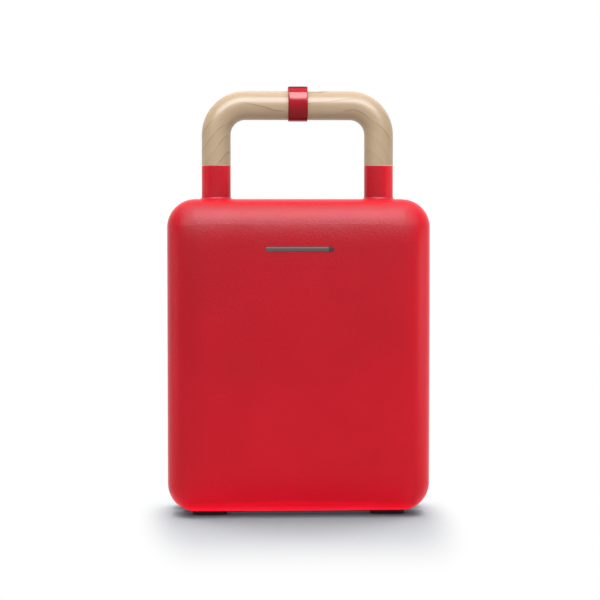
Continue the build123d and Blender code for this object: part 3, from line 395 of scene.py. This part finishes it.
def makeRedClip():
    look = {"red": srgb(188, 10, 36), "deep": srgb(146, 5, 20), "low": 0.350, "high": 0.366,
            "crestShadeRed": srgb(112, 4, 20), "crest": 0.3745, "crestFade": 0.0016,
            "worn": srgb(226, 120, 124), "wornShare": 0.25, "wear": 0.0005,
            "gloss": 0.2, "tint": (0.92, 1.0, 1.0, 1.0), "roughLow": 0.15, "roughHigh": 0.22,
            "patchFrom": 0.2, "patchTo": 0.8, "grain": 2600.0, "relief": 0.08, "depth": 0.0003}
    material, tree, shader, place = newMaterial(
        "redClip", {"Specular IOR Level": look["gloss"], "Specular Tint": look["tint"]})
    grain = placeGroup(tree, mouldedGrain, Vector=place, Grain=look["grain"])
    wear = placeGroup(tree, edgeWear, Vector=place, Radius=look["wear"])
    height = splitPlace(tree, place)["Z"]
    # painted shade: the clip is painted darker towards its underside, where the light from above falls off
    tone = mixColor(tree, rangeNode(tree, height, look["low"], look["high"]), look["deep"], look["red"])
    # painted shade: the clip's crest is painted a darker red, standing in for the shade along its top edge
    crest = rangeNode(tree, height, look["crest"] - look["crestFade"], look["crest"])
    tone = mixColor(tree, crest, tone, look["crestShadeRed"])
    worn = mathNode(tree, "MULTIPLY", wear.outputs["Mask"], look["wornShare"])
    tree.links.new(mixColor(tree, worn, tone, look["worn"]), shader.inputs["Base Color"])
    rough = rangeNode(tree, grain.outputs["Patch"], look["patchFrom"], look["patchTo"],
                      look["roughLow"], look["roughHigh"])
    tree.links.new(rough, shader.inputs["Roughness"])
    bumpInto(tree, shader, grain.outputs["Height"], look["relief"], look["depth"])
    return material


def makeLightWood():
    look = {"pale": srgb(197, 172, 141), "warm": srgb(186, 158, 125), "warmShare": 0.5,
            "fleck": srgb(184, 157, 124), "fleckFrom": 0.45, "fleckTo": 0.78, "fleckShare": 0.5,
            "line": srgb(112, 76, 46), "lineDepth": -0.5, "leg": 0.75, "bar": 0.14, "gloss": 0.28,
            "fibreFrom": 0.3, "fibreTo": 0.8, "roughLow": 0.30, "roughHigh": 0.42,
            "relief": 0.06, "depth": 0.0003}
    material, tree, shader, place = newMaterial("lightWood", {"Specular IOR Level": look["gloss"]})
    grain = placeGroup(tree, barGrain, Vector=place, Leg=look["leg"], Bar=look["bar"])
    rings, lines, fibre = grain.outputs["Rings"], grain.outputs["Lines"], grain.outputs["Fibre"]
    body = mixColor(tree, mathNode(tree, "MULTIPLY", rings, look["warmShare"]), look["pale"], look["warm"])
    fleck = rangeNode(tree, fibre, look["fleckFrom"], look["fleckTo"], 0.0, look["fleckShare"])
    body = mixColor(tree, fleck, body, look["fleck"])
    tree.links.new(mixColor(tree, lines, body, look["line"]), shader.inputs["Base Color"])
    rough = rangeNode(tree, fibre, look["fibreFrom"], look["fibreTo"], look["roughLow"], look["roughHigh"])
    tree.links.new(rough, shader.inputs["Roughness"])
    relief = mathNode(tree, "ADD", fibre, mathNode(tree, "MULTIPLY", lines, look["lineDepth"]))
    bumpInto(tree, shader, relief, look["relief"], look["depth"])
    return material


def makeMoulded(name, pale, dark, rough, grain, relief=0.15):
    look = {"wear": 0.0004, "toneFrom": 0.3, "toneTo": 0.7, "lift": 1.6, "liftAdd": 0.01,
            "wornShare": 0.4, "smearRough": 0.1, "depth": 0.0003}
    material, tree, shader, place = newMaterial(name)
    moulded = placeGroup(tree, mouldedGrain, Vector=place, Grain=grain)
    wear = placeGroup(tree, edgeWear, Vector=place, Radius=look["wear"])
    smear = placeGroup(tree, handling, Vector=place, Amount=1.0)
    tone = mixColor(tree, rangeNode(tree, moulded.outputs["Patch"], look["toneFrom"], look["toneTo"]), pale, dark)
    lighter = tuple(min(1.0, c * look["lift"] + look["liftAdd"]) for c in pale[:3]) + (1.0,)
    worn = mathNode(tree, "MULTIPLY", wear.outputs["Mask"], look["wornShare"])
    tree.links.new(mixColor(tree, worn, tone, lighter), shader.inputs["Base Color"])
    smeared = mathNode(tree, "MULTIPLY_ADD", smear.outputs["Mask"], look["smearRough"], rough)
    tree.links.new(smeared, shader.inputs["Roughness"])
    bumpInto(tree, shader, moulded.outputs["Height"], relief, look["depth"])
    return material


def makeMetal(name, pale, dark, rough, brush=(40.0, 900.0, 900.0)):
    look = {"lineDetail": 3.0, "lineFrom": 0.3, "lineTo": 0.7, "wear": 0.0004, "smearShare": 0.35,
            "lift": 1.3, "wornShare": 0.5, "smoother": 0.06, "rougher": 0.08, "relief": 0.05, "depth": 0.0002}
    material, tree, shader, place = newMaterial(name, {"Metallic": 1.0})
    stretch = newNode(tree, "ShaderNodeMapping", Scale=brush)
    tree.links.new(place, stretch.inputs["Vector"])
    lines = noiseNode(tree, stretch.outputs["Vector"], 1.0, look["lineDetail"])
    wear = placeGroup(tree, edgeWear, Vector=place, Radius=look["wear"])
    smear = placeGroup(tree, handling, Vector=place, Amount=1.0)
    tone = mixColor(tree, rangeNode(tree, lines, look["lineFrom"], look["lineTo"]), pale, dark)
    tone = mixColor(tree, mathNode(tree, "MULTIPLY", smear.outputs["Mask"], look["smearShare"]), tone, dark)
    lighter = tuple(min(1.0, c * look["lift"]) for c in pale[:3]) + (1.0,)
    worn = mathNode(tree, "MULTIPLY", wear.outputs["Mask"], look["wornShare"])
    tree.links.new(mixColor(tree, worn, tone, lighter), shader.inputs["Base Color"])
    brushed = rangeNode(tree, lines, look["lineFrom"], look["lineTo"],
                        rough - look["smoother"], rough + look["rougher"])
    tree.links.new(brushed, shader.inputs["Roughness"])
    bumpInto(tree, shader, lines, look["relief"], look["depth"])
    return material


def makeCoatedPlate():
    look = {"coat": srgb(44, 43, 44),
            "speck": srgb(88, 86, 86), "speckScale": 1600.0, "speckFrom": 0.66, "speckTo": 0.74,
            "seasoned": srgb(58, 48, 42), "stainScale": 26.0, "stainFrom": 0.52, "stainTo": 0.72, "stainShare": 0.6,
            "worn": srgb(120, 118, 116), "wornShare": 0.35, "wear": 0.0006,
            "roughScale": 60.0, "roughFrom": 0.3, "roughTo": 0.7, "roughLow": 0.32, "roughHigh": 0.46,
            "reliefScale": 2200.0, "relief": 0.10, "depth": 0.0002}
    material, tree, shader, place = newMaterial("coatedPlate")
    speck = rangeNode(tree, noiseNode(tree, place, look["speckScale"], 1.0), look["speckFrom"], look["speckTo"])
    stain = noiseNode(tree, place, look["stainScale"], 4.0)
    stain = rangeNode(tree, stain, look["stainFrom"], look["stainTo"], 0.0, look["stainShare"])
    wear = placeGroup(tree, edgeWear, Vector=place, Radius=look["wear"])
    tone = mixColor(tree, speck, look["coat"], look["speck"])
    tone = mixColor(tree, stain, tone, look["seasoned"])
    worn = mathNode(tree, "MULTIPLY", wear.outputs["Mask"], look["wornShare"])
    tree.links.new(mixColor(tree, worn, tone, look["worn"]), shader.inputs["Base Color"])
    rough = rangeNode(tree, noiseNode(tree, place, look["roughScale"], 3.0), look["roughFrom"], look["roughTo"],
                      look["roughLow"], look["roughHigh"])
    tree.links.new(rough, shader.inputs["Roughness"])
    bumpInto(tree, shader, noiseNode(tree, place, look["reliefScale"]), look["relief"], look["depth"])
    return material


def makeSmokedLens():
    look = {"low": srgb(104, 90, 88), "high": srgb(150, 138, 136), "litFrom": 0.2333, "litTo": 0.2343,
            "endColour": srgb(62, 50, 50), "endX": 0.0249, "endShare": 0.8,
            "wall": srgb(70, 28, 32), "middle": 0.2329, "wallFrom": 0.0017, "wallTo": 0.0023, "wallShare": 0.75,
            "streak": srgb(84, 72, 70), "streakScale": 900.0, "streakShare": 0.2, "streakFrom": 0.3,
            "streakTo": 0.7, "roughLow": 0.18, "roughHigh": 0.28, "gloss": 0.15,
            "relief": 0.03, "depth": 0.0002}
    material, tree, shader, place = newMaterial("smokedLens", {"Specular IOR Level": look["gloss"]})
    along, _, height = splitPlace(tree, place)
    tone = mixColor(tree, rangeNode(tree, height, look["litFrom"], look["litTo"]), look["low"], look["high"])
    darkEnd = mathNode(tree, "GREATER_THAN", along, look["endX"])
    tone = mixColor(tree, mathNode(tree, "MULTIPLY", darkEnd, look["endShare"]), tone, look["endColour"])
    # painted shade: the lens is painted darker along its top and bottom, standing in for the shade of the slot's
    # walls
    fromMiddle = mathNode(tree, "ABSOLUTE", mathNode(tree, "SUBTRACT", height, look["middle"]))
    shaded = rangeNode(tree, fromMiddle, look["wallFrom"], look["wallTo"], 0.0, look["wallShare"])
    tone = mixColor(tree, shaded, tone, look["wall"])
    streak = noiseNode(tree, place, look["streakScale"])
    streaked = mixColor(tree, mathNode(tree, "MULTIPLY", streak, look["streakShare"]), tone, look["streak"])
    tree.links.new(streaked, shader.inputs["Base Color"])
    rough = rangeNode(tree, streak, look["streakFrom"], look["streakTo"], look["roughLow"], look["roughHigh"])
    tree.links.new(rough, shader.inputs["Roughness"])
    bumpInto(tree, shader, streak, look["relief"], look["depth"])
    return material


def makeLampGlass():
    look = {"pale": srgb(255, 214, 180), "warm": srgb(240, 150, 110), "cloudScale": 300.0, "rough": 0.08,
            "clear": 0.7, "relief": 0.05, "depth": 0.0002}
    material, tree, shader, place = newMaterial(
        "lampGlass", {"Roughness": look["rough"], "Transmission Weight": look["clear"]})
    cloud = noiseNode(tree, place, look["cloudScale"])
    tree.links.new(mixColor(tree, cloud, look["pale"], look["warm"]), shader.inputs["Base Color"])
    bumpInto(tree, shader, cloud, look["relief"], look["depth"])
    return material


mouldedLooks = {
    "dark_bezel": {"name": "darkBezel", "pale": srgb(46, 46, 48), "dark": srgb(36, 36, 38),
                   "rough": 0.5, "grain": 1400.0},
    "grey_plastic": {"name": "greyPlastic", "pale": srgb(120, 120, 124), "dark": srgb(104, 104, 108),
                     "rough": 0.45, "grain": 1800.0},
    "pale_plastic": {"name": "palePlastic", "pale": srgb(222, 216, 204), "dark": srgb(206, 200, 188),
                     "rough": 0.5, "grain": 1800.0},
    "black_rubber": {"name": "blackRubber", "pale": srgb(42, 41, 44), "dark": srgb(34, 33, 36),
                     "rough": 0.75, "grain": 2200.0, "relief": 0.3},
    "lead_sleeve": {"name": "leadSleeve", "pale": srgb(214, 208, 192), "dark": srgb(186, 178, 160),
                    "rough": 0.8, "grain": 900.0, "relief": 0.4},
}
metalLooks = {
    "spring_steel": {"name": "springSteel", "pale": srgb(190, 188, 186), "dark": srgb(150, 148, 146), "rough": 0.3},
    "element_sheath": {"name": "elementSheath", "pale": srgb(128, 122, 118), "dark": srgb(86, 78, 74),
                       "rough": 0.5, "brush": (300.0, 300.0, 300.0)},
    "sheet_steel": {"name": "sheetSteel", "pale": srgb(186, 186, 188), "dark": srgb(154, 154, 156), "rough": 0.38},
    "reflector_sheet": {"name": "reflectorSheet", "pale": srgb(214, 214, 216), "dark": srgb(184, 184, 186),
                        "rough": 0.28},
    "screw_steel": {"name": "screwSteel", "pale": srgb(188, 188, 192), "dark": srgb(150, 150, 154),
                    "rough": 0.32, "brush": (700.0, 700.0, 700.0)},
    "pin_steel": {"name": "pinSteel", "pale": srgb(196, 196, 200), "dark": srgb(160, 160, 164),
                  "rough": 0.25, "brush": (30.0, 1500.0, 1500.0)},
}
finishes = {
    "red_housing": makeRedHousing(),
    "red_clip": makeRedClip(),
    "light_wood": makeLightWood(),
    "coated_plate": makeCoatedPlate(),
    "smoked_lens": makeSmokedLens(),
    "lamp_glass": makeLampGlass(),
}
for slot, look in mouldedLooks.items():
    finishes[slot] = makeMoulded(**look)
for slot, look in metalLooks.items():
    finishes[slot] = makeMetal(**look)
print("finishes made:", len(finishes))

slotOf = {row["node"]: row["material_slot"] for row in frame["record"]["subparts"]}
for name, node in nodes.items():
    node.data.materials.clear()
    node.data.materials.append(finishes[slotOf[name]])
print("finishes placed")


softEdges = {"names": ("clip_collar", "latch_clip"), "width": 0.0007, "segments": 3, "sharpFrom": 35.0,
             "merge": 0.00002, "flatWithin": 0.3}


def softenEdges(node):
    # the solids have sharp edges where the moulding is rounded
    weld = node.modifiers.new("weld", "WELD")
    weld.merge_threshold = softEdges["merge"]
    flat = node.modifiers.new("flatFaces", "DECIMATE")
    flat.decimate_type = "DISSOLVE"
    flat.angle_limit = math.radians(softEdges["flatWithin"])
    soft = node.modifiers.new("softEdges", "BEVEL")
    soft.width = softEdges["width"]
    soft.segments = softEdges["segments"]
    soft.limit_method = "ANGLE"
    soft.angle_limit = math.radians(softEdges["sharpFrom"])
    soft.use_clamp_overlap = False
    soft.harden_normals = True


for name in softEdges["names"]:
    softenEdges(nodes[name])
print("edges softened")


leafSettings = {"travel": 0.004, "merge": 0.00001}


def makeReleaseLeaf(name, node, body):
    # the folded leaf behind a slider, as one merged mesh on its body in place of the spring
    shape = bmesh.new()
    shape.from_mesh(nodes[node].data)
    bmesh.ops.remove_doubles(shape, verts=shape.verts, dist=leafSettings["merge"])
    mesh = bpy.data.meshes.new(name)
    shape.to_mesh(mesh)
    shape.free()
    mesh.materials.append(finishes["spring_steel"])
    leaf = bpy.data.objects.new(name, mesh)
    bpy.context.scene.collection.objects.link(leaf)
    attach(leaf, body)
    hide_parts(node)
    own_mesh(leaf)
    return leaf


leaves = [
    makeReleaseLeaf("base_release_leaf", "base_release_spring", "base"),
    makeReleaseLeaf("lid_release_leaf", "lid_release_spring", "lid"),
]
print("release leaves made")


def makeFloor():
    # real shadow near the object, with painted shade where the object meets the floor, plain white further out
    look = {"size": 6.0, "near": 0.12, "far": 0.32, "halfWidth": 0.085, "sideFall": 5.6,
            "colour": (0.905, 0.913, 0.935, 1.0), "contactShade": (0.03, 0.03, 0.04, 1.0), "reach": 0.011,
            "samples": 8}
    bpy.ops.mesh.primitive_plane_add(size=look["size"])
    floor = bpy.context.object
    floor.name = "studioFloor"
    material = bpy.data.materials.new("studioFloor")
    material.use_nodes = True
    tree = material.node_tree
    tree.nodes.clear()
    out = newNode(tree, "ShaderNodeOutputMaterial")
    matte = newNode(tree, "ShaderNodeBsdfDiffuse")
    glow = newNode(tree, "ShaderNodeEmission", Color=(1.0, 1.0, 1.0, 1.0), Strength=1.0)
    x, y, _ = splitPlace(tree, newNode(tree, "ShaderNodeTexCoord").outputs["Object"])
    # the shadow is as wide as the object, and fades faster to its sides than to the front
    beside = mathNode(tree, "SUBTRACT", mathNode(tree, "ABSOLUTE", x), look["halfWidth"])
    beside = mathNode(tree, "MULTIPLY", mathNode(tree, "MAXIMUM", beside, 0.0), look["sideFall"])
    square = mathNode(tree, "MULTIPLY_ADD", y, y, mathNode(tree, "MULTIPLY", beside, beside))
    away = rangeNode(tree, mathNode(tree, "SQRT", square), look["near"], look["far"])
    # painted shade: the floor's colour darkens close to the object, by ambient occlusion
    paintedContactShade = newNode(tree, "ShaderNodeAmbientOcclusion", samples=look["samples"], Distance=look["reach"])
    pale = mixColor(tree, paintedContactShade.outputs["AO"], look["contactShade"], look["colour"])
    tree.links.new(pale, matte.inputs["Color"])
    mix = newNode(tree, "ShaderNodeMixShader")
    tree.links.new(mathNode(tree, "MULTIPLY", away, seenRays(tree)), mix.inputs[0])
    tree.links.new(matte.outputs[0], mix.inputs[1])
    tree.links.new(glow.outputs[0], mix.inputs[2])
    tree.links.new(mix.outputs[0], out.inputs["Surface"])
    floor.data.materials.append(material)


def makeWorld():
    # white for the camera, for reflections and through glass, with an even fill for the shading
    look = {"fill": 0.18}
    world = bpy.data.worlds.new("studioWorld")
    bpy.context.scene.world = world
    world.use_nodes = True
    tree = world.node_tree
    tree.nodes.clear()
    out = newNode(tree, "ShaderNodeOutputWorld")
    background = newNode(tree, "ShaderNodeBackground", Color=(1.0, 1.0, 1.0, 1.0))
    level = mathNode(tree, "MAXIMUM", seenRays(tree), look["fill"])
    tree.links.new(level, background.inputs["Strength"])
    tree.links.new(background.outputs[0], out.inputs["Surface"])


def collect(name, pieces):
    # lamps that are linked to such a collection light nothing else
    group = bpy.data.collections.new(name)
    for piece in pieces:
        group.objects.link(piece)
    return group


applianceOnly = collect("applianceOnly", [*nodes.values(), *leaves])
housingsOnly = collect("housingsOnly", [nodes[name] for name in nodes if slotOf[name] == "red_housing"])
clipOnly = collect("clipOnly", [nodes[name] for name in nodes if slotOf[name] == "red_clip"])


def makeLamp(name, place, aim, size, power, lights=None, mirrored=False, fromBelow=False):
    # a lamp shades, or it shows in reflections when it is mirrored, never both
    data = bpy.data.lights.new(name, "AREA")
    data.shape = "RECTANGLE"
    data.size, data.size_y = size
    data.energy = power
    lamp = bpy.data.objects.new(name, data)
    bpy.context.scene.collection.objects.link(lamp)
    lamp.location = place
    lamp.rotation_euler = (Vector(aim) - Vector(place)).to_track_quat("-Z", "Y").to_euler()
    lamp.visible_camera = False
    lamp.visible_glossy = mirrored
    lamp.visible_diffuse = not mirrored
    if lights:
        lamp.light_linking.receiver_collection = lights
    if fromBelow:
        # the floor lets its light through
        lamp.light_linking.blocker_collection = applianceOnly


makeFloor()
makeWorld()
print("floor and world set")

# topBox alone lights the floor, so its shadow stays plain
lamps = {
    "frontBox": {"place": (0.0, -0.86, 1.16), "aim": (0.0, 0.0, 0.26), "size": (2.0, 0.85), "power": 16.0,
                 "lights": applianceOnly},
    "frontSheen": {"place": (0.0, -0.86, 1.16), "aim": (0.0, 0.0, 0.26), "size": (2.0, 0.85), "power": 112.0,
                   "lights": applianceOnly, "mirrored": True},
    "clipSheen": {"place": (0.0, -0.92, 1.23), "aim": (0.0, 0.0, 0.26), "size": (2.1, 0.92), "power": 120.0,
                  "lights": clipOnly, "mirrored": True},
    "topBox": {"place": (0.0, 0.5, 1.4), "aim": (0.0, 0.0, 0.15), "size": (2.6, 1.5), "power": 35.0},
    "topFill": {"place": (0.0, 0.5, 1.4), "aim": (0.0, 0.0, 0.15), "size": (2.6, 1.5), "power": 12.0,
                "lights": applianceOnly},
    "crownGlow": {"place": (0.0, -0.16, 1.25), "aim": (0.0, 0.0, 0.26), "size": (1.6, 0.5), "power": 33.0,
                  "lights": housingsOnly},
    "underGlow": {"place": (0.0, -0.14, -0.35), "aim": (0.0, -0.045, 0.0), "size": (0.7, 0.16), "power": 9.6,
                  "lights": housingsOnly, "fromBelow": True},
    "rightGlow": {"place": (1.1, -0.18, 0.05), "aim": (0.0, 0.0, 0.10), "size": (0.6, 0.6), "power": 23.0,
                  "lights": housingsOnly},
    "leftGlow": {"place": (-1.1, -0.10, 0.05), "aim": (0.0, 0.0, 0.08), "size": (0.6, 0.6), "power": 9.5,
                 "lights": housingsOnly},
}
for name, lamp in lamps.items():
    makeLamp(name, **lamp)
print("lamps set:", len(lamps))
